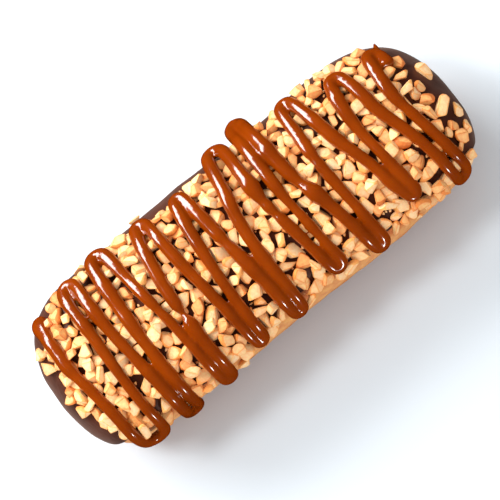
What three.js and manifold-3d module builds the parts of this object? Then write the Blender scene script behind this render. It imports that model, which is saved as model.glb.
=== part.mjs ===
// A bar doughnut, 150 mm long: fried dough, a chocolate coat over its top and sides,
// chopped peanut pressed into the coat, and caramel drizzled to and fro across it.
// Millimetres, +Z up. The bar lies along X and rests on the XY plane at the origin.
import * as THREE from "three";
import { mergeVertices } from "three/addons/utils/BufferGeometryUtils.js";
import Module from "manifold-3d";

const wasm = await Module();
wasm.setup();

// The dough: a long rounded body, with its widest line at the waist and a flat base.
const HALF_LENGTH = 73.3;
const HALF_WIDTH = 26.2;
const WAIST_HEIGHT = 17;
const CROWN_RISE = 17;
const BELLY_DEPTH = 18.6;
const SECTION_POWER = 2.5;
const BODY_SIDES = 26;
const BODY_ROWS = 24;
const END_GATHER = 1.8;

// How squarely the bar ends: a higher power keeps the full section nearer to the end. The
// far corners are rounder than the near ones, and the far right one the roundest.
const NEAR_END_POWER = 12.5;
const FAR_LEFT_END_POWER = 9.5;
const FAR_RIGHT_END_POWER = 8;
const TOP_END_POWER = 10;
const END_ROUND = 2;

// The slight swell of hand-shaped dough: its height, and the lengths of its two waves.
const SWELL = 0.35;
const SHORT_SWELL = 9;
const LONG_SWELL = 17;

// The chocolate coat, and the height of its edge on the near side, far side and ends.
const COAT_THICKNESS = 1.5;
const SEAT_GAP = 0.3;
const NEAR_EDGE = WAIST_HEIGHT + 7.4;
const FAR_EDGE = WAIST_HEIGHT + 1.5;
const END_EDGE = WAIST_HEIGHT - 2;
const EDGE_WAVE = 0.8;
const SHORT_EDGE_WAVE = 4.3;
const LONG_EDGE_WAVE = 7.9;
const END_TURN = 12;

// Loose pieces of chopped peanut at the two ends and over the sides: x, girth and radius.
const LOOSE_PEANUTS = [
  [65.4, 11.9, 2.1],
  [63.9, 6.4, 2.0],
  [69.3, 5.6, 2.4],
  [63.2, -1.7, 2.0],
  [65.6, -0.6, 1.7],
  [64.7, -5.6, 2.0],
  [61.6, -6.8, 1.9],
  [66.2, -10.8, 2.9],
  [69.0, -16.1, 2.1],
  [62.3, -13.8, 2.0],
  [65.4, -17.2, 1.6],
  [68.3, -22.4, 1.8],
  [65.5, -21.6, 2.4],
  [63.3, -17.8, 1.5],
  [64.0, -22.8, 1.8],
  [64.7, -28.2, 1.9],
  [64.1, -31.7, 1.5],
  [-68.0, 15.3, 2.1],
  [-68.2, 9.0, 2.2],
  [-69.0, -6.8, 1.8],
  [-67.0, -4.6, 1.9],
  [-68.0, -13.2, 2.4],
  [-66.7, -10.0, 1.6],
  [-66.0, -19.8, 1.4],
  [-66.7, 0.7, 1.5],
  [-52.2, -32.4, 1.6],
  [-24.1, -34.3, 1.9],
  [42.5, -32.1, 1.4],
  [52.7, -31.2, 1.7],
  [-44.7, 24.5, 1.8],
  [-22.6, 29.2, 1.7],
  [21.8, 25.1, 1.6],
];

// The rest of the large pieces: how many there are, their radii, and where they lie.
const PEANUT_COUNT = 110;
const PEANUT_TRIALS = 40000;
const PEANUT_LARGEST = 2.5;
const PEANUT_SMALLEST = 1.8;
const PEANUT_SPACING = 1;
const PEANUT_SINK = 0.42;
const PEANUT_STRETCH = { x: 1.3, y: 0.95, z: 0.72 };
const PEANUT_DENT = 0.22;
const STRAND_CLEARANCE = 2.7;
const PEANUT_REACH = { left: -65.5, right: 62.5, near: -28, far: 21 };

// Places that the peanut leaves bare: x, girth, and the half widths along each.
const BARE_PATCHES = [
  [-69, -25, 5.5, 11],
  [-66, 23, 9, 8],
  [68, 15, 9, 10],
  [56, 34, 24, 14],
];

// The caramel strand, and how high its middle rides above the dough.
const STRAND_RADIUS = 1.85;
const STRAND_SIDES = 6;
const STRAND_LIFT = 4.1;
const STRAND_TIP_LIFT = 2.8;
const HANG_FROM = 25;
const HANG_TO = 33;
const STRAND_SAMPLES = 1500;
const CROSSING_MIDDLE = -4;
const CROSSING_REACH = 23;
const FAR_FLARE = 1.1;
const NEAR_FLARE = 0.6;

// Each row is one crossing of the bar: the x of its middle, and then the turn at its
// end, given by x, girth and half the gap between the two crossings that it joins.
// Girth is measured round the section from the crown, towards +Y.
const START_GIRTH = 22.6;
const CROSSINGS = [
  [-63.1, -57.4, -32.2, 3.4],
  [-53.0, -50.4, 20.0, 2.2],
  [-48.0, -44.2, -34.3, 1.85],
  [-42.1, -38.4, 21.6, 2.5],
  [-33.4, -30.2, -30.2, 1.65],
  [-28.4, -22.9, 20.7, 2.05],
  [-19.4, -16.1, -27.4, 1.5],
  [-13.3, -9.0, 18.9, 1.65],
  [-5.8, -2.1, -28.4, 1.75],
  [0.0, 7.8, 24.2, 2.65],
  [9.9, 14.9, -25.5, 1.75],
  [15.3, 18.0, 29.4, 1.8],
  [21.6, 28.3, -27.8, 1.75],
  [29.0, 33.0, 20.9, 2.05],
  [38.6, 44.6, -23.2, 1.5],
  [44.1, 48.6, 16.4, 2.2],
  [52.6, 59.2, -30.2, 1.8],
  [57.7, 61.2, 17.6, 1.7],
];
const TAIL_END = [62.6, 10.2];

// Far turns that stand off the side: x, girth, reach and extra lift.
const STAND_OFFS = [
  [8.0, 24.2, 5.0, 1.4],
  [18.0, 29.4, 4.0, 2.3],
];

const MATERIALS = {
  dough: new THREE.MeshStandardMaterial({ color: "#d9a868", roughness: 0.75, metalness: 0 }),
  icing: new THREE.MeshStandardMaterial({ color: "#4a2c22", roughness: 0.35, metalness: 0 }),
};

const signedPower = (value, power) => Math.sign(value) * Math.abs(value) ** power;
const fraction = (value) => value - Math.floor(value);
const draw = (index, stream) => fraction(Math.sin(index * 12.9898 + stream * 78.233) * 43758.5453);
const mix = (from, to, share) => from + (to - from) * share;

// The point of the middle section at an angle from the crown.
function sectionPoint(angle, offset) {
  const rise = Math.cos(angle) >= 0 ? CROWN_RISE : BELLY_DEPTH;
  const power = 2 / SECTION_POWER;
  return {
    y: signedPower(Math.sin(angle), power) * (HALF_WIDTH + offset),
    z: signedPower(Math.cos(angle), power) * (rise + offset),
  };
}

function endPower(x, y) {
  if (y <= 0) return NEAR_END_POWER;
  return x < 0 ? FAR_LEFT_END_POWER : FAR_RIGHT_END_POWER;
}

// How far the section has drawn in at x, from 1 in the middle to 0 at the ends.
function sectionScale(x, offset, power) {
  const share = Math.min(Math.abs(x) / (HALF_LENGTH + offset), 1);
  return (1 - share ** power) ** (1 / END_ROUND);
}

function swell(x, angle) {
  const shortWave = Math.sin(x / SHORT_SWELL + 2 * Math.sin(angle));
  const longWave = Math.sin(x / LONG_SWELL - 3 * angle + 1);
  return SWELL * (shortWave + longWave);
}

function bodyPoint(x, angle, offset) {
  const { y, z } = sectionPoint(angle, offset);
  const wide = sectionScale(x, offset, endPower(x, y));
  const tall = sectionScale(x, offset, TOP_END_POWER);
  const grown = 1 + (swell(x, angle) * tall) / HALF_WIDTH;
  return new THREE.Vector3(x, y * wide * grown, Math.max(WAIST_HEIGHT + z * tall * grown, 0));
}

// Girth, in mm round the section from the crown, against the angle from the crown.
const GIRTH_STEPS = 720;
const girthTable = [0];
for (let step = 1; step <= GIRTH_STEPS; step += 1) {
  const before = sectionPoint(((step - 1) * Math.PI) / GIRTH_STEPS, 0);
  const after = sectionPoint((step * Math.PI) / GIRTH_STEPS, 0);
  girthTable.push(girthTable[step - 1] + Math.hypot(after.y - before.y, after.z - before.z));
}

function angleAt(girth) {
  const length = Math.abs(girth);
  const next = girthTable.findIndex((value) => value >= length);
  if (next < 1) return 0;
  const share = (length - girthTable[next - 1]) / (girthTable[next] - girthTable[next - 1]);
  return (Math.sign(girth) * (next - 1 + share) * Math.PI) / GIRTH_STEPS;
}

// One axis's share of the outward direction: along x, and along the axis itself.
function slopes(x, place, half, power) {
  const share = Math.min(Math.abs(x) / HALF_LENGTH, 0.9999);
  const reach = half * Math.max(sectionScale(x, 0, power), 0.01);
  const level = Math.min(Math.abs(place) / reach, 1);
  const drawIn = ((power / END_ROUND) * share ** (power - 1)) / (1 - share ** power) / HALF_LENGTH;
  return {
    along: Math.sign(x) * drawIn * level ** SECTION_POWER,
    across: (Math.sign(place) * level ** (SECTION_POWER - 1)) / reach,
  };
}

// The place and the outward direction of the dough's skin at x and girth.
function skinAt(x, girth) {
  const point = bodyPoint(x, angleAt(girth), 0);
  const rise = point.z >= WAIST_HEIGHT ? CROWN_RISE : BELLY_DEPTH;
  const side = slopes(x, point.y, HALF_WIDTH, endPower(x, point.y));
  const upright = slopes(x, point.z - WAIST_HEIGHT, rise, TOP_END_POWER);
  const normal = new THREE.Vector3(side.along + upright.along, side.across, upright.across);
  return { point, normal: normal.normalize() };
}

function lifted(x, girth, lift) {
  const { point, normal } = skinAt(x, girth);
  return point.addScaledVector(normal, lift);
}

// Turns a closed geometry into a solid that can be joined and cut, and back.
function solidOf(geometry) {
  geometry.deleteAttribute("normal");
  geometry.deleteAttribute("uv");
  const merged = mergeVertices(geometry, 1e-4);
  return new wasm.Manifold(
    new wasm.Mesh({
      numProp: 3,
      vertProperties: new Float32Array(merged.attributes.position.array),
      triVerts: new Uint32Array(merged.index.array),
    }),
  );
}

function geometryOf(solid) {
  const mesh = solid.getMesh();
  const geometry = new THREE.BufferGeometry();
  geometry.setAttribute("position", new THREE.BufferAttribute(new Float32Array(mesh.vertProperties), 3));
  geometry.setIndex(new THREE.BufferAttribute(new Uint32Array(mesh.triVerts), 1));
  return geometry;
}

// The rounded body, made from a sphere whose poles lie on the X axis. Rows gather
// towards the ends, where the body turns down.
function bodyGeometry(offset, around, rows) {
  const geometry = new THREE.SphereGeometry(1, around, rows);
  const position = geometry.attributes.position;
  const uv = geometry.attributes.uv;
  for (let index = 0; index < position.count; index += 1) {
    const along = 2 * Math.round(uv.getY(index) * rows) / rows - 1;
    const pole = Math.abs(along) > 1 - 1e-6;
    const reach = 1 - (1 - Math.abs(along)) ** END_GATHER;
    const x = Math.sign(along) * (HALF_LENGTH + offset) * reach;
    const angle = Math.atan2(position.getZ(index), position.getX(index));
    const point = pole ? new THREE.Vector3(x, 0, WAIST_HEIGHT) : bodyPoint(x, angle, offset);
    position.setXYZ(index, point.x, point.y, point.z);
  }
  return geometry;
}

// Everything above the coat's wavy edge, as a slab whose underside follows the edge.
function aboveEdge() {
  const top = 2 * (WAIST_HEIGHT + CROWN_RISE);
  const slab = new THREE.BoxGeometry(3 * HALF_LENGTH, 4 * HALF_WIDTH, 1, 60, 4, 1);
  const position = slab.attributes.position;
  for (let index = 0; index < position.count; index += 1) {
    const x = position.getX(index);
    const y = position.getY(index);
    const side = mix(NEAR_EDGE, FAR_EDGE, THREE.MathUtils.smoothstep(y, -HALF_WIDTH, HALF_WIDTH));
    const toEnd = THREE.MathUtils.smoothstep(Math.abs(x), HALF_LENGTH - END_TURN, HALF_LENGTH);
    const shortWave = Math.sin(x / SHORT_EDGE_WAVE + y);
    const wave = EDGE_WAVE * (shortWave + Math.sin(x / LONG_EDGE_WAVE + 1));
    const edge = mix(side, END_EDGE, toEnd) + wave * (1 - toEnd);
    position.setZ(index, position.getZ(index) > 0 ? top : edge);
  }
  return solidOf(slab);
}

function isBare(x, girth) {
  return BARE_PATCHES.some(([midX, midGirth, halfX, halfGirth]) =>
    ((x - midX) / halfX) ** 2 + ((girth - midGirth) / halfGirth) ** 2 < 1);
}

// Peanut pieces, the loose ones and then the largest first: a piece is kept where it
// clears those already there and the caramel.
function peanutPlaces(strandPoints) {
  const kept = LOOSE_PEANUTS.map(([x, girth, radius], index) => ({
    x, girth, radius, trial: -index - 1, centre: lifted(x, girth, COAT_THICKNESS + radius * PEANUT_SINK),
  }));
  const wanted = kept.length + PEANUT_COUNT;
  for (let trial = 1; trial <= PEANUT_TRIALS && kept.length < wanted; trial += 1) {
    const share = 1 - (wanted - kept.length) / PEANUT_COUNT;
    const radius = mix(PEANUT_LARGEST, PEANUT_SMALLEST, share);
    const x = mix(PEANUT_REACH.left, PEANUT_REACH.right, draw(trial, 1));
    const girth = mix(PEANUT_REACH.near, PEANUT_REACH.far, draw(trial, 2));
    if (isBare(x, girth)) continue;
    const centre = lifted(x, girth, COAT_THICKNESS + radius * PEANUT_SINK);
    const clear = kept.every((other) =>
      other.centre.distanceTo(centre) > (other.radius + radius) * PEANUT_SPACING);
    const uncovered = strandPoints.every((other) => other.distanceTo(centre) > STRAND_CLEARANCE);
    if (clear && uncovered) kept.push({ x, girth, radius, centre, trial });
  }
  return kept;
}

// One chunk of chopped peanut: an uneven, slightly flat lump of twenty faces.
function peanutGeometry({ x, girth, radius, centre, trial }) {
  const geometry = new THREE.IcosahedronGeometry(radius, 0);
  const position = geometry.attributes.position;
  const length = PEANUT_STRETCH.x * mix(0.9, 1.1, draw(trial, 3));
  const stretch = new THREE.Vector3(length, PEANUT_STRETCH.y, PEANUT_STRETCH.z);
  const vertex = new THREE.Vector3();
  for (let index = 0; index < position.count; index += 1) {
    vertex.fromBufferAttribute(position, index);
    const unevenness = Math.sin(5 * vertex.x + 7 * vertex.y + 11 * vertex.z + trial);
    vertex.multiply(stretch).multiplyScalar(1 + PEANUT_DENT * (unevenness - 0.6));
    position.setXYZ(index, vertex.x, vertex.y, vertex.z);
  }
  const upright = new THREE.Vector3(0, 0, 1);
  const tilt = new THREE.Quaternion().setFromUnitVectors(upright, skinAt(x, girth).normal);
  const turn = new THREE.Quaternion().setFromAxisAngle(upright, draw(trial, 4) * Math.PI);
  geometry.applyQuaternion(tilt.multiply(turn));
  geometry.translate(centre.x, centre.y, centre.z);
  return geometry;
}

// A curve with the same number of steps between each two of its points, so that the
// tight turns get as many as the long crossings.
class EvenRouteCurve extends THREE.CatmullRomCurve3 {
  getPointAt(share, target) {
    return this.getPoint(share, target);
  }

  getTangentAt(share, target) {
    return this.getTangent(share, target);
  }
}

// How high the strand's middle rides above the dough's skin at x and girth.
function strandLift(x, girth) {
  const hang = THREE.MathUtils.smoothstep(Math.abs(girth), HANG_FROM, HANG_TO);
  const standOff = STAND_OFFS.reduce((sum, [turnX, turnGirth, reach, extra]) =>
    sum + extra * Math.exp(-((Math.hypot(x - turnX, girth - turnGirth) / reach) ** 2)), 0);
  return mix(STRAND_LIFT, STRAND_TIP_LIFT, hang) + standOff;
}

// The line of the caramel: each crossing flares towards its turns, and each turn is a
// half circle that rides lower, where it hangs over the side.
function strandCurve() {
  const route = [[CROSSINGS[0][0], START_GIRTH]];
  let fromX = CROSSINGS[0][0];
  for (const [middle, turnX, turnGirth, halfGap] of CROSSINGS) {
    const side = Math.sign(turnGirth);
    for (const share of [-0.6, -0.2, 0.2, 0.6]) {
      const endX = share < 0 ? fromX : turnX - halfGap;
      const flare = side * share > 0 ? FAR_FLARE : NEAR_FLARE;
      const x = middle + (endX - middle) * Math.abs(share) ** flare;
      route.push([x, CROSSING_MIDDLE + side * share * CROSSING_REACH]);
    }
    for (const turn of [-90, -45, 0, 45, 90]) {
      const angle = THREE.MathUtils.degToRad(turn);
      const back = side * halfGap * (1 - Math.cos(angle));
      route.push([turnX + halfGap * Math.sin(angle), turnGirth - back]);
    }
    fromX = turnX + halfGap;
  }
  route.push(TAIL_END);
  const points = route.map(([x, girth]) => lifted(x, girth, strandLift(x, girth)));
  return new EvenRouteCurve(points, false, "centripetal");
}

// The strand as a tube of few sides along its line.
function strandSolid(curve) {
  const section = new THREE.Shape();
  for (let side = 0; side < STRAND_SIDES; side += 1) {
    const angle = (side * 2 * Math.PI) / STRAND_SIDES;
    const [across, up] = [STRAND_RADIUS * Math.cos(angle), STRAND_RADIUS * Math.sin(angle)];
    if (side === 0) section.moveTo(across, up);
    else section.lineTo(across, up);
  }
  const steps = curve.points.length - 1;
  return solidOf(new THREE.ExtrudeGeometry(section, {
    steps, bevelEnabled: false, extrudePath: curve,
  }));
}

// The one connected body, without loose scraps or sealed pockets.
function largestPiece(solid) {
  return solid.decompose().reduce((best, piece) => (piece.volume() > best.volume() ? piece : best));
}

function doughSolid() {
  return solidOf(bodyGeometry(0, BODY_SIDES, BODY_ROWS));
}

// The coat, the caramel and the peanut fused, and hollowed to clear the dough.
function icingSolid() {
  const bed = solidOf(bodyGeometry(SEAT_GAP, BODY_SIDES, BODY_ROWS));
  const coat = solidOf(bodyGeometry(COAT_THICKNESS, BODY_SIDES, BODY_ROWS)).intersect(aboveEdge());
  const strand = strandCurve();
  const places = peanutPlaces(strand.getSpacedPoints(STRAND_SAMPLES));
  const peanuts = places.map((place) => solidOf(peanutGeometry(place)));
  const topped = peanuts.reduce((joined, piece) => joined.add(piece), coat.add(strandSolid(strand)));
  return largestPiece(topped.subtract(bed));
}

function part(name, solid) {
  const mesh = new THREE.Mesh(geometryOf(solid), MATERIALS[name]);
  mesh.name = name;
  return mesh;
}

const doughnut = new THREE.Group();
doughnut.add(part("dough", doughSolid()));
doughnut.add(part("icing", icingSolid()));

export default doughnut;
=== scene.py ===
# A bar doughnut: fried dough, a chocolate coat, chopped peanut and caramel drizzle.
# Sizes are in millimetres and become metres as each mesh is finished.
import itertools
import math

import bmesh
import bpy
import numpy as np
from mathutils import Matrix, Quaternion, Vector, noise
from mathutils.bvhtree import BVHTree
from mathutils.kdtree import KDTree


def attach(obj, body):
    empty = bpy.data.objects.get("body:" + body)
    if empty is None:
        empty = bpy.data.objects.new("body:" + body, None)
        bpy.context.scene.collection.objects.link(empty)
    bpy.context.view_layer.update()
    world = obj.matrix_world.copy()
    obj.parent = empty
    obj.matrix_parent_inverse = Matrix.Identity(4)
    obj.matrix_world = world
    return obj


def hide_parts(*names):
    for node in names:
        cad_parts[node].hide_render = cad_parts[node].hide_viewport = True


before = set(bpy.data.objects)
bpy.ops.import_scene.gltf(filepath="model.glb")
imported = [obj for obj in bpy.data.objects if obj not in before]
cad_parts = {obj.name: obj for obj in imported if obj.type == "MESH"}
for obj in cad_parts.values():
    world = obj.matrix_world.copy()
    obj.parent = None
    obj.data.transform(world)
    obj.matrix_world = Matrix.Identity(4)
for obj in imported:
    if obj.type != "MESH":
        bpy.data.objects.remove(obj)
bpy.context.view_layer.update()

MM = 0.001

# The dough bar, as in the part.
HALF_LENGTH = 73.3
HALF_WIDTH = 26.2
WAIST_HEIGHT = 17.0
CROWN_RISE = 17.0
BELLY_DEPTH = 18.6
NEAR_END_POWER, TOP_END_POWER = 12.5, 10.0
FAR_LEFT_END_POWER, FAR_RIGHT_END_POWER = 9.5, 8.0
END_ROUND = 2.0
SECTION_POWER = 2.5
END_GATHER = 1.8
SWELL, SHORT_SWELL, LONG_SWELL = 0.35, 9.0, 17.0
GIRTH_STEPS = 720
DOUGH_MESH = {"around": 128, "rows": 170}

# The dough's skin lies a little inside the part's, with blisters, given by length and
# height, and a shallow crease round its waist. Its browning goes by height.
SKIN_DEPTH = 0.25
BLISTERS = [(3.2, 0.22), (9.0, 0.3)]
CREASE_DEPTH, CREASE_REACH, CREASE_ABOVE_WAIST = 0.35, 1.6, 1.0
FLAT_BASE_FADE = 3.0
BROWNING_TOP, BROWNING_WANDER = 38.0, 5.0

# The chocolate coat and its wavy edge.
COAT_THICKNESS = 1.5
COAT_MESH = {"around": 150, "rows": 210}
COAT_RIPPLE, RIPPLE_LENGTH = 0.3, 7.0
COAT_FLOAT, COAT_WALL = 0.05, 0.5
NEAR_EDGE = WAIST_HEIGHT + 7.4
FAR_EDGE = WAIST_HEIGHT + 1.5
END_EDGE = WAIST_HEIGHT - 2.0
EDGE_WAVE, SHORT_EDGE_WAVE, LONG_EDGE_WAVE = 0.8, 4.3, 7.9
END_TURN = 12.0
LIP = 1.6

# Chopped peanut: loose pieces at the two ends and over the sides, the large pieces that
# lie between the caramel, the smaller ones that fill in round them and under it, the
# upper ones that lie on those, and crumbs. Girth is measured round the section from the
# crown, towards +Y. Each loose piece is an x, a girth and a radius.
LOOSE_PEANUTS = [
    (65.4, 11.9, 2.1),
    (63.9, 6.4, 2.0),
    (69.3, 5.6, 2.4),
    (63.2, -1.7, 2.0),
    (65.6, -0.6, 1.7),
    (64.7, -5.6, 2.0),
    (61.6, -6.8, 1.9),
    (66.2, -10.8, 2.9),
    (69.0, -16.1, 2.1),
    (62.3, -13.8, 2.0),
    (65.4, -17.2, 1.6),
    (68.3, -22.4, 1.8),
    (65.5, -21.6, 2.4),
    (63.3, -17.8, 1.5),
    (64.0, -22.8, 1.8),
    (64.7, -28.2, 1.9),
    (64.1, -31.7, 1.5),
    (-68.0, 15.3, 2.1),
    (-68.2, 9.0, 2.2),
    (-69.0, -6.8, 1.8),
    (-67.0, -4.6, 1.9),
    (-68.0, -13.2, 2.4),
    (-66.7, -10.0, 1.6),
    (-66.0, -19.8, 1.4),
    (-66.7, 0.7, 1.5),
    (-52.2, -32.4, 1.6),
    (-24.1, -34.3, 1.9),
    (42.5, -32.1, 1.4),
    (52.7, -31.2, 1.7),
    (-44.7, 24.5, 1.8),
    (-22.6, 29.2, 1.7),
    (21.8, 25.1, 1.6),
]
LOOSE_SINK = 0.4

# Each scattered kind has the most pieces that it may have, its radii, how near two pieces
# may lie as a share of their radii, how far their middles stand out of the coat as a
# share of their radius, and the first of its trials.
LARGE_PEANUTS = {
    "count": 110, "largest": 2.5, "smallest": 1.8, "spacing": 1.0, "sink": 0.42, "first_trial": 1,
}
SMALL_PEANUTS = {
    "count": 480, "largest": 2.75, "smallest": 1.6, "spacing": 0.85, "sink": 0.3, "first_trial": 100001,
}
UPPER_PEANUTS = {
    "count": 110, "largest": 2.3, "smallest": 1.6, "spacing": 0.72, "sink": 1.15, "first_trial": 200001,
}
CRUMBS = {
    "count": 160, "largest": 0.55, "smallest": 0.3, "spacing": 1.0, "sink": 0.5, "first_trial": 300001,
}
PIECE_FLATNESS, CRUMB_FLATNESS = 0.8, 0.9
STRAND_CLEARANCE = 2.7
NEIGHBOUR_CELL = 5.6
TRIALS = 40000
PEANUT_REACH = {"left": -65.5, "right": 62.5, "near": -28.0, "far": 21.0}

# Places that the peanut leaves bare: x, girth, and the half widths along each.
BARE_PATCHES = [
    (-69, -25, 5.5, 11),
    (-66, 23, 9, 8),
    (68, 15, 9, 10),
    (56, 34, 24, 14),
]

# The chunk shapes: a lump of a kernel, one flat cut across its top and two to five round
# its sides. Tilts and reaches are ranges, and turns are shares of a full turn.
PEANUT_SHAPES = 36
LUMP = (1.25, 1.0, 0.85)
FEWEST_CUTS, EXTRA_CUTS = 3, 3.4
TOP_TILT, SIDE_TILT = (1.6, 5.0), (-0.6, 0.9)
TOP_REACH, SIDE_REACH = (0.34, 0.5), (0.34, 0.75)
CUT_TURN, CUT_TURN_SPREAD = 0.38, 0.3
SHORTEST_EDGE = 0.08
CAP_FACING, CAP_NEARNESS = 0.97, 0.05
# The last of these paints the broad cut faces' inner rims part way to the skin colour: a painted shade
# towards each cut's edges.
BROAD_CAP, CAP_RIM, CAP_RISE, CAP_EDGE_SHADE = 0.45, 0.1, 0.03, 0.3
PEANUT_CRISP_ANGLE = 44.0
PEANUT_LENGTH, PEANUT_WIDTH, PEANUT_LEAN = (0.95, 1.3), 0.95, 0.7
ROAST_POWER = 1.4

# The caramel. Each row is one crossing of the bar: the x of its middle, then the turn
# at its end, given by x, girth and half the gap between the crossings that it joins,
# and last the strand's width.
START_GIRTH = 22.6
CROSSINGS = [
    (-63.1, -57.4, -32.2, 3.4, 3.8),
    (-53.0, -50.4, 20.0, 2.2, 3.4),
    (-48.0, -44.2, -34.3, 1.85, 3.7),
    (-42.1, -38.4, 21.6, 2.5, 3.9),
    (-33.4, -30.2, -30.2, 1.65, 3.3),
    (-28.4, -22.9, 20.7, 2.05, 3.6),
    (-19.4, -16.1, -27.4, 1.5, 3.5),
    (-13.3, -9.0, 18.9, 1.65, 3.4),
    (-5.8, -2.1, -28.4, 1.75, 3.7),
    (0.0, 7.8, 24.2, 2.65, 3.7),
    (9.9, 14.9, -25.5, 1.75, 3.6),
    (15.3, 18.0, 29.4, 1.8, 3.2),
    (21.6, 28.3, -27.8, 1.75, 4.0),
    (29.0, 33.0, 20.9, 2.05, 3.5),
    (38.6, 44.6, -23.2, 1.5, 3.7),
    (44.1, 48.6, 16.4, 2.2, 3.4),
    (52.6, 59.2, -30.2, 1.8, 3.6),
    (57.7, 61.2, 17.6, 1.7, 3.7),
]
TAIL_END = (62.6, 10.2)

# The thread that pulled away from the tail: its points, as x, girth, width and extra lift.
TAIL_PEAK = [
    (62.4, 13.5, 3.4, 0.0),
    (62.8, 16.4, 2.8, 0.8),
    (63.2, 19.2, 1.7, 1.8),
    (63.5, 21.6, 0.7, 2.8),
]

# Far turns that stand off the side: x, girth, reach and extra lift.
STAND_OFFS = [
    (8.0, 24.2, 5.0, 1.4),
    (18.0, 29.4, 4.0, 3.6),
]

# How the crossings run and flare towards their turns, and widen towards the far side.
CROSSING_MIDDLE, CROSSING_REACH = -4.0, 23.0
FAR_FLARE, NEAR_FLARE = 1.1, 0.6
FAR_WIDENING, WIDEN_FROM, WIDEN_TO = 0.2, -10.0, 6.0

# The strand's own mesh, and how it is fused and softened.
STRAND_STEP = 0.45
STRAND_AROUND = 14
STRAND_TOP_SHARE = 0.8
STRAND_RIDE = 0.3
WIDTH_WANDER, WANDER_LENGTH = 0.1, 6.0
END_TAPER = 1.3
STRAND_VOXEL, SOFTENINGS = 0.43, 3

# How the strand feels for what lies below it: rays from above, across its width, and over
# how many of its steps it bridges the peaks and eases up and down.
FEEL_FROM, FEEL_DEPTH = 12, 14
FEEL_SHIFTS = (-1.2, -0.6, 0.0, 0.6, 1.2)
PEAK_SHARE, BRIDGED_STEPS, EASED_STEPS, TURNED_STEPS = 0.65, 4, 7, 3

# About how high the strand's middle rides, for the peanut that keeps clear of it: lower
# where it hangs over the side.
STRAND_LIFT, STRAND_TIP_LIFT = 4.1, 2.8
HANG_FROM, HANG_TO = 25.0, 33.0

# Where the strand was pinched or piled up: x, girth, reach along it, and share of the width.
STRAND_SWELLINGS = [
    (-64.6, 19.5, 3.5, 1.35),
    (-64.0, -4.0, 3.0, 0.8),
    (-28.2, -8.7, 1.6, 0.42),
    (-28.0, -13.5, 3.0, 1.2),
    (-48.8, 2.0, 4.0, 0.85),
    (-33.5, -4.0, 2.0, 0.8),
    (-6.4, -1.0, 2.0, 0.75),
    (-5.0, -11.0, 5.0, 1.25),
    (9.9, 6.5, 2.6, 1.3),
    (10.0, 1.0, 1.6, 0.8),
    (10.1, -4.0, 1.5, 0.75),
    (10.8, -9.0, 4.0, 1.15),
    (15.0, -6.0, 5.0, 0.88),
    (18.0, 27.4, 5.0, 1.18),
    (20.2, 12.0, 2.5, 1.25),
    (23.0, -1.0, 2.0, 0.7),
    (24.4, -7.0, 3.0, 1.35),
    (28.9, 1.0, 2.0, 0.82),
    (46.6, 11.0, 2.5, 1.25),
    (43.8, -17.5, 2.5, 1.2),
    (58.6, -4.0, 2.0, 0.85),
    (63.6, 12.0, 3.0, 1.15),
]


def signed_power(value, power):
    return math.copysign(abs(value) ** power, value)


def mix(start, end, share):
    return start + (end - start) * share


def smoothstep(low, high, value):
    share = min(max((value - low) / (high - low), 0.0), 1.0)
    return share * share * (3 - 2 * share)


def draw(index, stream):
    """A number from 0 to 1, scattered but always the same for an index and a stream."""
    value = math.sin(index * 12.9898 + stream * 78.233) * 43758.5453
    return value - math.floor(value)


def section_point(angle):
    """The y of the middle section, and its z from the waist, at an angle from the crown."""
    rise = CROWN_RISE if math.cos(angle) >= 0 else BELLY_DEPTH
    power = 2 / SECTION_POWER
    return (
        signed_power(math.sin(angle), power) * HALF_WIDTH,
        signed_power(math.cos(angle), power) * rise,
    )


def end_power(x, y):
    if y <= 0:
        return NEAR_END_POWER
    return FAR_LEFT_END_POWER if x < 0 else FAR_RIGHT_END_POWER


def section_scale(x, power):
    """How far the section has drawn in at x, from 1 in the middle to 0 at the ends."""
    share = min(abs(x) / HALF_LENGTH, 1.0)
    return (1 - share ** power) ** (1 / END_ROUND)


def swell(x, angle):
    short_wave = math.sin(x / SHORT_SWELL + 2 * math.sin(angle))
    long_wave = math.sin(x / LONG_SWELL - 3 * angle + 1)
    return SWELL * (short_wave + long_wave)


def body_point(x, angle):
    y, z = section_point(angle)
    wide = section_scale(x, end_power(x, y))
    tall = section_scale(x, TOP_END_POWER)
    grown = 1 + swell(x, angle) * tall / HALF_WIDTH
    return Vector((x, y * wide * grown, max(WAIST_HEIGHT + z * tall * grown, 0)))


GIRTH_ANGLES = np.linspace(0, math.pi, GIRTH_STEPS + 1)
SECTION_LINE = np.array([section_point(angle) for angle in GIRTH_ANGLES])
GIRTHS = np.concatenate([[0], np.cumsum(np.linalg.norm(np.diff(SECTION_LINE, axis=0), axis=1))])


def angle_at(girth):
    return math.copysign(np.interp(abs(girth), GIRTHS, GIRTH_ANGLES), girth)


# Guards for the two end poles, where the section shrinks to nothing.
NEARLY_ONE, LEAST_SCALE, LEAST_SLOPE = 0.9999, 0.01, 1e-4


def outward(point):
    """The direction straight out of the dough at a point of its skin."""
    share = min(abs(point.x) / HALF_LENGTH, NEARLY_ONE)
    rise = CROWN_RISE if point.z >= WAIST_HEIGHT else BELLY_DEPTH
    normal = Vector()
    for axis, place, half, power in (
        (1, point.y, HALF_WIDTH, end_power(point.x, point.y)),
        (2, point.z - WAIST_HEIGHT, rise, TOP_END_POWER),
    ):
        reach = half * max(section_scale(point.x, power), LEAST_SCALE)
        level = min(abs(place) / reach, 1.0)
        slope = power / END_ROUND * share ** (power - 1) / (1 - share ** power) / HALF_LENGTH
        normal.x += math.copysign(slope * level ** SECTION_POWER, point.x)
        normal[axis] = math.copysign(level ** (SECTION_POWER - 1) / reach, place)
    at_pole = normal.length < LEAST_SLOPE
    return Vector((math.copysign(1, point.x), 0, 0)) if at_pole else normal.normalized()


def skin_at(x, girth):
    point = body_point(x, angle_at(girth))
    return point, outward(point)


def lifted(x, girth, lift):
    point, normal = skin_at(x, girth)
    return point + normal * lift


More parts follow.
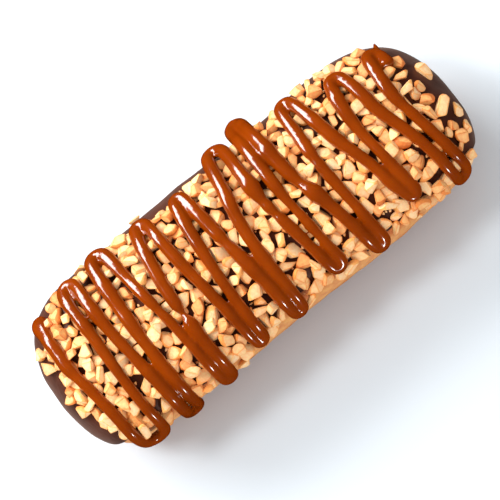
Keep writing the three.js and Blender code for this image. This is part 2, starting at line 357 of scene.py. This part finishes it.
def edge_height(x, y):
    side = mix(NEAR_EDGE, FAR_EDGE, smoothstep(-HALF_WIDTH, HALF_WIDTH, y))
    to_end = smoothstep(HALF_LENGTH - END_TURN, HALF_LENGTH, abs(x))
    wave = EDGE_WAVE * (math.sin(x / SHORT_EDGE_WAVE + y) + math.sin(x / LONG_EDGE_WAVE + 1))
    return mix(side, END_EDGE, to_end) + wave * (1 - to_end)


def coat_under(x, girth):
    """How thick the coat is at x and girth: nothing below its edge."""
    point, _ = skin_at(x, girth)
    return COAT_THICKNESS * smoothstep(0, LIP, point.z - edge_height(point.x, point.y))


def finished(name, bm, material, node):
    """Turns a bmesh in millimetres into a smooth piece of the doughnut."""
    bmesh.ops.scale(bm, vec=(MM, MM, MM), verts=bm.verts)
    mesh = bpy.data.meshes.new(name)
    bm.to_mesh(mesh)
    bm.free()
    return placed(name, mesh, material, node)


def placed(name, mesh, material, node):
    """A mesh in metres as a smooth piece that rides on the body and replaces a solid."""
    mesh.shade_smooth()
    mesh.materials.append(material)
    piece = bpy.data.objects.new(name, mesh)
    bpy.context.scene.collection.objects.link(piece)
    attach(piece, "root")
    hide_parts(node)
    return piece


# Materials.
class Finish:
    """A principled material and short ways to add the nodes that feed it."""

    def __init__(self, name, **values):
        self.material = bpy.data.materials.new(name)
        self.material.use_nodes = True
        self.tree = self.material.node_tree
        self.shader = self.tree.nodes["Principled BSDF"]
        for socket, value in values.items():
            self.shader.inputs[socket.replace("_", " ")].default_value = value
        self.place = self.add("ShaderNodeTexCoord").outputs["Object"]

    def add(self, kind, **settings):
        node = self.tree.nodes.new(kind)
        for key, value in settings.items():
            setattr(node, key, value)
        return node

    def link(self, output, socket):
        self.tree.links.new(output, socket)

    def noise(self, scale, detail=3.0, roughness=0.55):
        node = self.add("ShaderNodeTexNoise")
        node.inputs["Scale"].default_value = scale
        node.inputs["Detail"].default_value = detail
        node.inputs["Roughness"].default_value = roughness
        self.link(self.place, node.inputs["Vector"])
        return node.outputs["Fac"]

    def attribute(self, name):
        return self.add("ShaderNodeAttribute", attribute_name=name).outputs["Fac"]

    def ramp(self, factor, *stops):
        node = self.add("ShaderNodeValToRGB")
        elements = node.color_ramp.elements
        while len(elements) < len(stops):
            elements.new(0.5)
        for element, (place, colour) in zip(elements, stops):
            element.position = place
            element.color = rgba(colour)
        self.link(factor, node.inputs["Fac"])
        return node.outputs["Color"]

    def blend(self, factor, first, second, mode="MIX"):
        node = self.add("ShaderNodeMix", data_type="RGBA", blend_type=mode)
        for index, value in ((0, factor), (6, first), (7, second)):
            socket = node.inputs[index]
            if isinstance(value, bpy.types.NodeSocket):
                self.link(value, socket)
            else:
                socket.default_value = value
        return node.outputs[2]

    def scaled(self, value, low, high, to_low=0.0, to_high=1.0):
        node = self.add("ShaderNodeMapRange")
        for socket, number in zip(node.inputs[1:5], (low, high, to_low, to_high)):
            socket.default_value = number
        self.link(value, node.inputs[0])
        return node.outputs[0]

    def bump(self, height, depth, after=None):
        node = self.add("ShaderNodeBump")
        node.inputs["Strength"].default_value = 1.0
        node.inputs["Distance"].default_value = depth
        self.link(height, node.inputs["Height"])
        if after:
            self.link(after, node.inputs["Normal"])
        return node.outputs["Normal"]

    def use(self, **outputs):
        for socket, output in outputs.items():
            self.link(output, self.shader.inputs[socket.replace("_", " ")])
        return self.material


def linear(channel):
    share = channel / 255
    return share / 12.92 if share <= 0.04045 else ((share + 0.055) / 1.055) ** 2.4


def rgba(colour):
    return (*(linear(channel) for channel in colour), 1.0)


def dough_finish():
    """Browned by height, from the base up, with a pale band above the waist."""
    finish = Finish("fried dough", Roughness=0.7, Specular_IOR_Level=0.3, Subsurface_Weight=0.1)
    finish.shader.inputs["Subsurface Radius"].default_value = (0.002, 0.001, 0.0005)
    height = finish.add("ShaderNodeSeparateXYZ")
    finish.link(finish.place, height.inputs[0])
    wander = finish.add("ShaderNodeMath", operation="MULTIPLY_ADD")
    finish.link(finish.noise(90.0), wander.inputs[0])
    wander.inputs[1].default_value = BROWNING_WANDER * MM
    finish.link(height.outputs["Z"], wander.inputs[2])
    bands = finish.ramp(
        finish.scaled(wander.outputs[0], 0.0, BROWNING_TOP * MM),
        (0.0, (150, 88, 40)),
        (0.16, (186, 118, 58)),
        (0.36, (204, 130, 70)),
        (0.44, (222, 162, 106)),
        (0.58, (218, 152, 92)),
        (0.66, (190, 112, 58)),
        (0.9, (160, 92, 44)),
    )
    mottle = finish.ramp(finish.noise(420.0, 5.0), (0.3, (150, 90, 45)), (0.7, (250, 220, 170)))
    mottled = finish.blend(0.35, bands, mottle, "OVERLAY")
    fine = finish.bump(finish.noise(1500.0, 4.0), 0.12 * MM)
    coarse = finish.bump(finish.noise(350.0, 3.0), 0.3 * MM, fine)
    return finish.use(Base_Color=mottled, Normal=coarse)


def chocolate_finish():
    finish = Finish("chocolate", Specular_IOR_Level=0.3, Sheen_Weight=0.2, Sheen_Roughness=0.5)
    finish.shader.inputs["Sheen Tint"].default_value = (1.0, 0.72, 0.58, 1.0)
    finish.shader.inputs["Specular Tint"].default_value = (1.0, 0.82, 0.72, 1.0)
    colour = finish.ramp(finish.noise(160.0), (0.3, (58, 20, 7)), (0.7, (78, 32, 14)))
    rough = finish.scaled(finish.noise(260.0, 4.0), 0.3, 0.7, 0.36, 0.5)
    fine = finish.bump(finish.noise(900.0, 4.0), 0.05 * MM)
    coarse = finish.bump(finish.noise(190.0, 2.0), 0.3 * MM, fine)
    return finish.use(Base_Color=colour, Roughness=rough, Normal=coarse)


def peanut_finish():
    """Pale where a piece is cut, browner on its skin, with painted shade darkening each broad cut face
    towards its edges, and some pieces roasted darker.
    """
    finish = Finish("chopped peanut", Roughness=0.5, Specular_IOR_Level=0.3, Subsurface_Weight=0.12)
    finish.shader.inputs["Subsurface Radius"].default_value = (0.001, 0.0006, 0.0003)
    roast = finish.attribute("roast")
    skin_tone_and_edge_shade = finish.attribute("skin_tone_and_edge_shade")
    cut = finish.ramp(roast, (0.0, (251, 210, 164)), (0.6, (250, 196, 138)), (1.0, (240, 168, 98)))
    skin = finish.ramp(roast, (0.0, (246, 172, 100)), (0.6, (236, 146, 72)), (1.0, (198, 104, 44)))
    grain = finish.noise(1100.0, 4.0)
    # The cut colour goes towards the skin colour by the skin share, which also carries the painted shade
    # at the cut faces' edges.
    colour = finish.blend(skin_tone_and_edge_shade, cut, skin)
    mottle = finish.ramp(grain, (0.3, (165, 125, 95)), (0.7, (250, 240, 225)))
    mottled = finish.blend(0.3, colour, mottle, "OVERLAY")
    return finish.use(Base_Color=mottled, Normal=finish.bump(grain, 0.1 * MM))


def caramel_finish():
    finish = Finish("caramel", Roughness=0.13, Specular_IOR_Level=0.9, Subsurface_Weight=0.1)
    finish.shader.inputs["Subsurface Radius"].default_value = (0.003, 0.001, 0.0004)
    colour = finish.ramp(finish.noise(120.0, 2.0), (0.3, (124, 46, 0)), (0.7, (141, 55, 0)))
    return finish.use(Base_Color=colour, Normal=finish.bump(finish.noise(160.0, 1.0), 0.05 * MM))


# The dough.
def body_bmesh(around, rows):
    """The bar as a closed skin, from a sphere whose poles lie at its two ends."""
    bm = bmesh.new()
    bmesh.ops.create_uvsphere(bm, u_segments=around, v_segments=rows, radius=1)
    for vert in bm.verts:
        along = 1 - 2 * math.acos(max(min(vert.co.z, 1), -1)) / math.pi
        reach = 1 - (1 - abs(along)) ** END_GATHER
        x = math.copysign(HALF_LENGTH * reach, along)
        if abs(along) > 1 - 1e-6:
            vert.co = Vector((x, 0, WAIST_HEIGHT))
        else:
            vert.co = body_point(x, math.atan2(vert.co.y, vert.co.x))
    bmesh.ops.recalc_face_normals(bm, faces=bm.faces)
    return bm


def dough(material):
    bm = body_bmesh(DOUGH_MESH["around"], DOUGH_MESH["rows"])
    for vert in bm.verts:
        blister = sum(noise.noise(vert.co / length) * height for length, height in BLISTERS)
        from_crease = vert.co.z - WAIST_HEIGHT - CREASE_ABOVE_WAIST
        crease = CREASE_DEPTH * math.exp(-((from_crease / CREASE_REACH) ** 2))
        fade = smoothstep(0, FLAT_BASE_FADE, vert.co.z)
        vert.co += outward(vert.co) * (blister - crease - SKIN_DEPTH) * fade
    return finished("fried_dough", bm, material, "dough")


# The chocolate coat: the bar's skin above the edge, thinning to a round lip there.
def chocolate_coat():
    bm = body_bmesh(COAT_MESH["around"], COAT_MESH["rows"])
    for vert in bm.verts:
        vert.co.z -= edge_height(vert.co.x, vert.co.y)
    bmesh.ops.bisect_plane(
        bm, geom=bm.verts[:] + bm.edges[:] + bm.faces[:], dist=1e-5,
        plane_co=(0, 0, 0), plane_no=(0, 0, 1), clear_inner=True,
    )
    for vert in bm.verts:
        above = vert.co.z
        vert.co.z += edge_height(vert.co.x, vert.co.y)
        share = min(above / LIP, 1.0)
        thickness = COAT_THICKNESS * math.sqrt(max(1 - (1 - share) ** 2, 0))
        ripple = noise.noise(vert.co / RIPPLE_LENGTH) * COAT_RIPPLE * share
        vert.co += outward(vert.co) * (thickness + ripple + COAT_FLOAT)
    bmesh.ops.recalc_face_normals(bm, faces=bm.faces)
    bmesh.ops.solidify(bm, geom=bm.faces[:], thickness=COAT_WALL)
    return bm


# Chopped peanut.
def peanut_shape(seed):
    """One chunk of a kernel: a rounded lump cut by flat planes, with crowned cut faces.

    Gives its points about its middle, its faces, and each point's share of skin colour: none at the pale
    middle of a broad cut face, all on the skin, and part at the cut face's inner rim, a painted shade
    that darkens the cut towards its edges.
    """
    bm = bmesh.new()
    bmesh.ops.create_icosphere(bm, subdivisions=2, radius=1)
    bmesh.ops.scale(bm, vec=LUMP, verts=bm.verts)
    planes = []
    for cut in range(FEWEST_CUTS + int(EXTRA_CUTS * draw(seed, 11))):
        turn = 2 * math.pi * (draw(seed, 12 + cut) * CUT_TURN_SPREAD + cut * CUT_TURN)
        tilt = mix(*(SIDE_TILT if cut else TOP_TILT), draw(seed, 22 + cut))
        reach = mix(*(SIDE_REACH if cut else TOP_REACH), draw(seed, 32 + cut))
        direction = Vector((math.cos(turn), math.sin(turn), tilt)).normalized()
        planes.append((direction, reach))
        result = bmesh.ops.bisect_plane(
            bm, geom=bm.verts[:] + bm.edges[:] + bm.faces[:], dist=1e-4,
            plane_co=direction * reach, plane_no=direction, clear_outer=True,
        )
        rim = [item for item in result["geom_cut"] if isinstance(item, bmesh.types.BMEdge)]
        if rim:
            bmesh.ops.contextual_create(bm, geom=rim)
    bmesh.ops.remove_doubles(bm, verts=bm.verts, dist=SHORTEST_EDGE)
    bmesh.ops.recalc_face_normals(bm, faces=bm.faces)
    bm.normal_update()
    caps = [face for face in bm.faces if any(
        face.normal.dot(direction) > CAP_FACING
        and abs(face.calc_center_median().dot(direction) - reach) < CAP_NEARNESS
        for direction, reach in planes)]
    broad = [face for face in caps if face.calc_area() > BROAD_CAP]
    bmesh.ops.inset_individual(
        bm, faces=broad, thickness=CAP_RIM, depth=CAP_RISE, use_even_offset=True,
    )
    shaded_rims = {vert for face in broad for vert in face.verts}
    pale = set(bmesh.ops.poke(bm, faces=broad)["verts"])
    bm.verts.index_update()
    middle = sum((vert.co for vert in bm.verts), Vector()) / len(bm.verts)
    size = sum((vert.co - middle).length for vert in bm.verts) / len(bm.verts)
    points = np.array([(vert.co - middle) / size for vert in bm.verts])
    faces = [[vert.index for vert in face.verts] for face in bm.faces]
    # Cut middles are pale, the broad caps' inner rims go part way to the skin colour as painted edge
    # shade, and the rest is skin.
    skin_tone_and_edge_shade = np.array([0.0 if vert in pale else CAP_EDGE_SHADE if vert in shaded_rims else 1.0 for vert in bm.verts])
    bm.free()
    return points, faces, skin_tone_and_edge_shade


def is_bare(x, girth):
    return any(
        ((x - mid_x) / half_x) ** 2 + ((girth - mid_girth) / half_girth) ** 2 < 1
        for mid_x, mid_girth, half_x, half_girth in BARE_PATCHES
    )


class Heap:
    """The pieces that are already placed, sorted into cubes so that neighbours are quick to find."""

    def __init__(self, cell):
        self.cell = cell
        self.cubes = {}

    def cube(self, centre):
        return tuple(math.floor(value / self.cell) for value in centre)

    def add(self, centre, radius):
        self.cubes.setdefault(self.cube(centre), []).append((centre, radius))

    def has_room(self, centre, radius, spacing):
        i, j, k = self.cube(centre)
        for cube in itertools.product((i - 1, i, i + 1), (j - 1, j, j + 1), (k - 1, k, k + 1)):
            for other, other_radius in self.cubes.get(cube, ()):
                if (other - centre).length <= (other_radius + radius) * spacing:
                    return False
        return True


def scatter(kind, heap, strand=None):
    """Peanut places, largest first: a piece is kept where it clears those already there,
    and the strand too where one is given.
    """
    kept = []
    for trial in range(kind["first_trial"], kind["first_trial"] + TRIALS):
        if len(kept) == kind["count"]:
            break
        radius = mix(kind["largest"], kind["smallest"], len(kept) / kind["count"])
        x = mix(PEANUT_REACH["left"], PEANUT_REACH["right"], draw(trial, 1))
        girth = mix(PEANUT_REACH["near"], PEANUT_REACH["far"], draw(trial, 2))
        if is_bare(x, girth):
            continue
        centre = lifted(x, girth, COAT_THICKNESS + radius * kind["sink"])
        if not heap.has_room(centre, radius, kind["spacing"]):
            continue
        if strand and strand.find(centre)[2] <= STRAND_CLEARANCE:
            continue
        heap.add(centre, radius)
        kept.append({"x": x, "girth": girth, "radius": radius, "centre": centre, "trial": trial})
    return kept


def joined_peanuts(name, places, shapes, flatness, material):
    """All the pieces of one kind in one mesh, each turned and leaned its own way."""
    points, faces, skin_tone_and_edge_shade, roast = [], [], [], []
    start = 0
    for place in places:
        trial = place["trial"]
        shape_points, shape_faces, shape_skin_and_edge_shade = shapes[int(draw(trial, 5) * len(shapes))]
        _, normal = skin_at(place["x"], place["girth"])
        lean = Vector(draw(trial, stream) - 0.5 for stream in (6, 7, 8)) * PEANUT_LEAN
        tilt = (normal + lean).normalized().to_track_quat("Z", "Y")
        spin = Quaternion((0, 0, 1), draw(trial, 4) * 2 * math.pi)
        turned = (tilt @ spin).to_matrix()
        size = Vector((mix(*PEANUT_LENGTH, draw(trial, 3)), PEANUT_WIDTH, flatness)) * place["radius"]
        matrix = np.array(turned @ Matrix.Diagonal(size))
        points.append(shape_points @ matrix.T + np.array(place["centre"]))
        faces.extend([[start + index for index in face] for face in shape_faces])
        start += len(shape_points)
        skin_tone_and_edge_shade.append(shape_skin_and_edge_shade)
        roast.append(np.full(len(shape_points), draw(trial, 9) ** ROAST_POWER))
    mesh = bpy.data.meshes.new(name)
    mesh.from_pydata((np.concatenate(points) * MM).tolist(), [], faces)
    # The skin share, with its painted edge shade, and the roast go to the finish as point attributes.
    for label, values in (("skin_tone_and_edge_shade", skin_tone_and_edge_shade), ("roast", roast)):
        mesh.attributes.new(label, "FLOAT", "POINT").data.foreach_set("value", np.concatenate(values))
    piece = placed(name, mesh, material, "icing")
    mesh.set_sharp_from_angle(angle=math.radians(PEANUT_CRISP_ANGLE))
    return piece


# The caramel.
def strand_route():
    """The caramel's line as points of x, girth and width."""
    route = [(CROSSINGS[0][0], START_GIRTH, CROSSINGS[0][4])]
    from_x = CROSSINGS[0][0]
    for middle, turn_x, turn_girth, half_gap, width in CROSSINGS:
        side = math.copysign(1, turn_girth)
        for share in (-0.6, -0.2, 0.2, 0.6):
            end_x = from_x if share < 0 else turn_x - half_gap
            flare = FAR_FLARE if side * share > 0 else NEAR_FLARE
            x = middle + (end_x - middle) * abs(share) ** flare
            route.append((x, CROSSING_MIDDLE + side * share * CROSSING_REACH, width))
        for turn in (-90, -45, 0, 45, 90):
            angle = math.radians(turn)
            back = side * half_gap * (1 - math.cos(angle))
            route.append((turn_x + half_gap * math.sin(angle), turn_girth - back, width))
        from_x = turn_x + half_gap
    route.append((*TAIL_END, CROSSINGS[-1][4]))
    return np.array(route)


def smooth_line(points, step):
    """A centripetal spline through the points, sampled about every step."""
    padded = np.vstack([2 * points[0] - points[1], points, 2 * points[-1] - points[-2]])
    samples = []
    for index in range(1, len(padded) - 2):
        before, start, end, after = padded[index - 1:index + 3]
        pairs = ((before, start), (start, end), (end, after))
        first, gap, last = (math.sqrt(np.linalg.norm((b - a)[:2])) for a, b in pairs)
        leave = (start - before) / first - (end - before) / (first + gap) + (end - start) / gap
        arrive = (end - start) / gap - (after - start) / (gap + last) + (after - end) / last
        count = max(int(np.linalg.norm((end - start)[:2]) / step), 2)
        for share in np.arange(count) / count:
            cubed, squared = share ** 3, share ** 2
            samples.append(
                (2 * cubed - 3 * squared + 1) * start + (cubed - 2 * squared + share) * gap * leave
                + (3 * squared - 2 * cubed) * end + (cubed - squared) * gap * arrive)
    samples.append(points[-1])
    return np.array(samples)


def smoothed(values, reach):
    """The values eased along the strand by a bell of the given reach, in steps."""
    steps = np.arange(-3 * reach, 3 * reach + 1)
    weights = np.exp(-0.5 * (steps / reach) ** 2)
    weights /= weights.sum()
    before, after = np.repeat(values[:1], 3 * reach, 0), np.repeat(values[-1:], 3 * reach, 0)
    padded = np.concatenate([before, values, after])
    return np.apply_along_axis(lambda column: np.convolve(column, weights, "valid"), 0, padded)


def tops_below(base, normals, sides, below):
    """How high what lies under the strand stands above the dough, at each of its steps."""
    heights = []
    for point, normal, side in zip(base, normals, sides):
        tops = []
        for shift in FEEL_SHIFTS:
            origin = Vector(point + side * shift + normal * FEEL_FROM)
            hit = below.ray_cast(origin, Vector(-normal), FEEL_DEPTH)
            tops.append(FEEL_FROM - hit[3] if hit[0] is not None else COAT_THICKNESS)
        heights.append(PEAK_SHARE * max(tops) + (1 - PEAK_SHARE) * sum(tops) / len(tops))
    return heights


def strand_widths(line, base):
    """The strand's width at each step, with its wander, its far widening and its swellings."""
    widths = line[:, 2] * np.array([
        1 + WIDTH_WANDER * noise.noise(Vector(point) / WANDER_LENGTH) for point in base])
    widths *= np.array([
        1 + FAR_WIDENING * smoothstep(WIDEN_FROM, WIDEN_TO, girth) for girth in line[:, 1]])
    for x, girth, reach, share in STRAND_SWELLINGS:
        apart = np.hypot(line[:, 0] - x, line[:, 1] - girth)
        widths *= 1 + (share - 1) * np.exp(-((apart / reach) ** 2))
    return widths


def strand_lifts(line, heights, half_heights, extra_lift):
    """How high the strand's middle rides: over the peaks below it, and off the far turns."""
    peaks = np.array([
        max(heights[max(index - BRIDGED_STEPS, 0):index + BRIDGED_STEPS + 1])
        for index in range(len(heights))])
    lifts = smoothed(peaks, EASED_STEPS) + STRAND_RIDE * half_heights + extra_lift
    for x, girth, reach, extra in STAND_OFFS:
        apart = np.hypot(line[:, 0] - x, line[:, 1] - girth)
        lifts += extra * np.exp(-((apart / reach) ** 2))
    return lifts


def strand_skin(bm, line, extra_lift, below):
    """Adds one closed strand that rides over what it was poured on."""
    skins = [skin_at(x, girth) for x, girth, _ in line]
    base = np.array([point for point, _ in skins])
    normals = smoothed(np.array([normal for _, normal in skins]), TURNED_STEPS)
    normals /= np.linalg.norm(normals, axis=1)[:, None]
    sides = np.cross(np.gradient(base, axis=0), normals)
    sides /= np.linalg.norm(sides, axis=1)[:, None]
    widths = strand_widths(line, base)
    half_heights = widths / 2 * STRAND_TOP_SHARE
    heights = tops_below(base, normals, sides, below)
    middles = base + normals * strand_lifts(line, heights, half_heights, extra_lift)[:, None]
    count = len(line)
    from_end = np.minimum(np.arange(count), np.arange(count)[::-1]) * STRAND_STEP
    taper = np.sqrt(np.clip(1 - (1 - np.clip(from_end / END_TAPER, 0, 1)) ** 2, 0, 1))
    strand = bmesh.new()
    bmesh.ops.create_grid(strand, x_segments=count - 1, y_segments=STRAND_AROUND, size=1)
    for vert in strand.verts:
        row = round((vert.co.x + 1) / 2 * (count - 1))
        angle = (vert.co.y + 1) * math.pi
        across = math.cos(angle) * widths[row] / 2 * taper[row]
        tall = half_heights[row] if angle < math.pi else widths[row] / 2
        up = math.sin(angle) * tall * taper[row]
        vert.co = Vector(middles[row] + sides[row] * across + normals[row] * up)
    bmesh.ops.remove_doubles(strand, verts=strand.verts, dist=1e-4)
    bmesh.ops.recalc_face_normals(strand, faces=strand.faces)
    piece = bpy.data.meshes.new("strand")
    strand.to_mesh(piece)
    strand.free()
    bm.from_mesh(piece)


def caramel(line, below, material):
    """The drizzle and its pulled thread, flowed together into one soft strand."""
    bm = bmesh.new()
    strand_skin(bm, line, 0.0, below)
    thread = smooth_line(np.array(TAIL_PEAK), STRAND_STEP)
    strand_skin(bm, thread[:, :3], thread[:, 3], below)
    bmesh.ops.scale(bm, vec=(MM, MM, MM), verts=bm.verts)
    mesh = bpy.data.meshes.new("poured")
    bm.to_mesh(mesh)
    bm.free()
    poured = bpy.data.objects.new("poured", mesh)
    bpy.context.scene.collection.objects.link(poured)
    remesh = poured.modifiers.new("fused", "REMESH")
    remesh.mode = "VOXEL"
    remesh.voxel_size = STRAND_VOXEL * MM
    shown = poured.evaluated_get(bpy.context.evaluated_depsgraph_get())
    bm = bmesh.new()
    bm.from_mesh(shown.to_mesh())
    bpy.data.objects.remove(poured)
    for _ in range(SOFTENINGS):
        bmesh.ops.smooth_vert(
            bm, verts=bm.verts, factor=0.5, use_axis_x=True, use_axis_y=True, use_axis_z=True,
        )
    bmesh.ops.scale(bm, vec=(1 / MM,) * 3, verts=bm.verts)
    return finished("caramel_drizzle", bm, material, "icing")


# The camera and the light. The camera's values are in millimetres, degrees and pixels,
# and the softboxes' in metres. The caramel mirrors the large softbox behind and the small
# one in front, and nothing else of the studio.
SKY = 0.78
TILT_FROM_ABOVE = 18.0
ROLL = 39.73
CAMERA_DISTANCE = 560.0
MM_PER_PIXEL = 0.3
IMAGE_PIXELS = 500
OBJECT_PIXEL = (253.5, 244.2)
SENSOR = 36.0


def camera():
    elevation = math.radians(90 - TILT_FROM_ABOVE)
    roll = math.radians(ROLL)
    right, back = Vector((1, 0, 0)), Vector((0, -math.cos(elevation), math.sin(elevation)))
    up = back.cross(right)
    image_right = right * math.cos(roll) - up * math.sin(roll)
    image_up = right * math.sin(roll) + up * math.cos(roll)
    shift_right = (OBJECT_PIXEL[0] - IMAGE_PIXELS / 2) * MM_PER_PIXEL
    shift_down = (OBJECT_PIXEL[1] - IMAGE_PIXELS / 2) * MM_PER_PIXEL
    target = Vector((0, 0, WAIST_HEIGHT)) - image_right * shift_right + image_up * shift_down
    data = bpy.data.cameras.new("camera")
    data.sensor_width = SENSOR
    data.lens = CAMERA_DISTANCE / MM_PER_PIXEL / IMAGE_PIXELS * SENSOR
    data.clip_start = 0.01
    view = bpy.data.objects.new("camera", data)
    axes = Matrix((image_right, image_up, back)).transposed()
    view.matrix_world = Matrix.Translation((target + back * CAMERA_DISTANCE) * MM) @ axes.to_4x4()
    bpy.context.scene.collection.objects.link(view)
    bpy.context.scene.camera = view


def softbox(name, place, size, power, mirrored=True, target=(0, 0, 0.02)):
    data = bpy.data.lights.new(name, "AREA")
    data.shape = "RECTANGLE"
    data.size, data.size_y = size
    data.energy = power
    lamp = bpy.data.objects.new(name, data)
    lamp.location = place
    lamp.rotation_euler = (Vector(place) - Vector(target)).to_track_quat("Z", "Y").to_euler()
    lamp.visible_glossy = mirrored
    bpy.context.scene.collection.objects.link(lamp)


def studio():
    softbox("back box", (-0.28, 0.6, 0.48), (0.65, 0.3), 8.0)
    softbox("front fill", (-0.1, -0.8, 0.22), (0.12, 0.12), 1.4)
    softbox("upper key", (-0.4, 0.2, 0.7), (0.2, 0.2), 3.0, mirrored=False)
    world = bpy.data.worlds.new("studio")
    world.use_nodes = True
    background = world.node_tree.nodes["Background"]
    background.inputs["Color"].default_value = (1, 1, 1, 1)
    background.inputs["Strength"].default_value = SKY
    world.cycles_visibility.glossy = False
    bpy.context.scene.world = world
    bpy.context.scene.view_settings.view_transform = "Standard"
    bm = bmesh.new()
    bmesh.ops.create_grid(bm, x_segments=1, y_segments=1, size=2.0)
    mesh = bpy.data.meshes.new("floor")
    bm.to_mesh(mesh)
    bm.free()
    floor = bpy.data.objects.new("floor", mesh)
    mesh.materials.append(Finish("pale floor", Base_Color=(0.66, 0.72, 0.77, 1), Roughness=0.8).material)
    bpy.context.scene.collection.objects.link(floor)
    floor.visible_glossy = False


def strand_tree(line):
    """The strand's line as points that are quick to search."""
    tree = KDTree(len(line))
    for index, (x, girth, _) in enumerate(line):
        hang = smoothstep(HANG_FROM, HANG_TO, abs(girth))
        tree.insert(lifted(x, girth, mix(STRAND_LIFT, STRAND_TIP_LIFT, hang)), index)
    tree.balance()
    return tree


def loose_places():
    return [
        {"x": x, "girth": girth, "radius": radius, "trial": -index,
         "centre": lifted(x, girth, coat_under(x, girth) + radius * LOOSE_SINK)}
        for index, (x, girth, radius) in enumerate(LOOSE_PEANUTS, 1)]


def chopped_peanut(line, material):
    """Places and joins all the peanut, and gives back the object that the caramel lies on."""
    strand = strand_tree(line)
    loose = loose_places()
    heap = Heap(NEIGHBOUR_CELL)
    for piece in loose:
        heap.add(piece["centre"], piece["radius"])
    large = scatter(LARGE_PEANUTS, heap, strand)
    small = scatter(SMALL_PEANUTS, heap)
    upper = scatter(UPPER_PEANUTS, heap, strand)
    crumbs = scatter(CRUMBS, heap)
    shapes = [peanut_shape(seed) for seed in range(1, PEANUT_SHAPES + 1)]
    places = loose + large + small + upper
    pieces = joined_peanuts("peanut_pieces", places, shapes, PIECE_FLATNESS, material)
    joined_peanuts("peanut_crumbs", crumbs, shapes, CRUMB_FLATNESS, material)
    return pieces


def searchable(piece):
    """A piece's surface, in millimetres, for rays to find."""
    bm = bmesh.new()
    bm.from_mesh(piece.data)
    bmesh.ops.scale(bm, vec=(1 / MM,) * 3, verts=bm.verts)
    surface = BVHTree.FromBMesh(bm)
    bm.free()
    return surface


camera()
studio()
dough(dough_finish())
strand_line = smooth_line(strand_route(), STRAND_STEP)
pieces = chopped_peanut(strand_line, peanut_finish())
caramel(strand_line, searchable(pieces), caramel_finish())
finished("chocolate_coat", chocolate_coat(), chocolate_finish(), "icing")
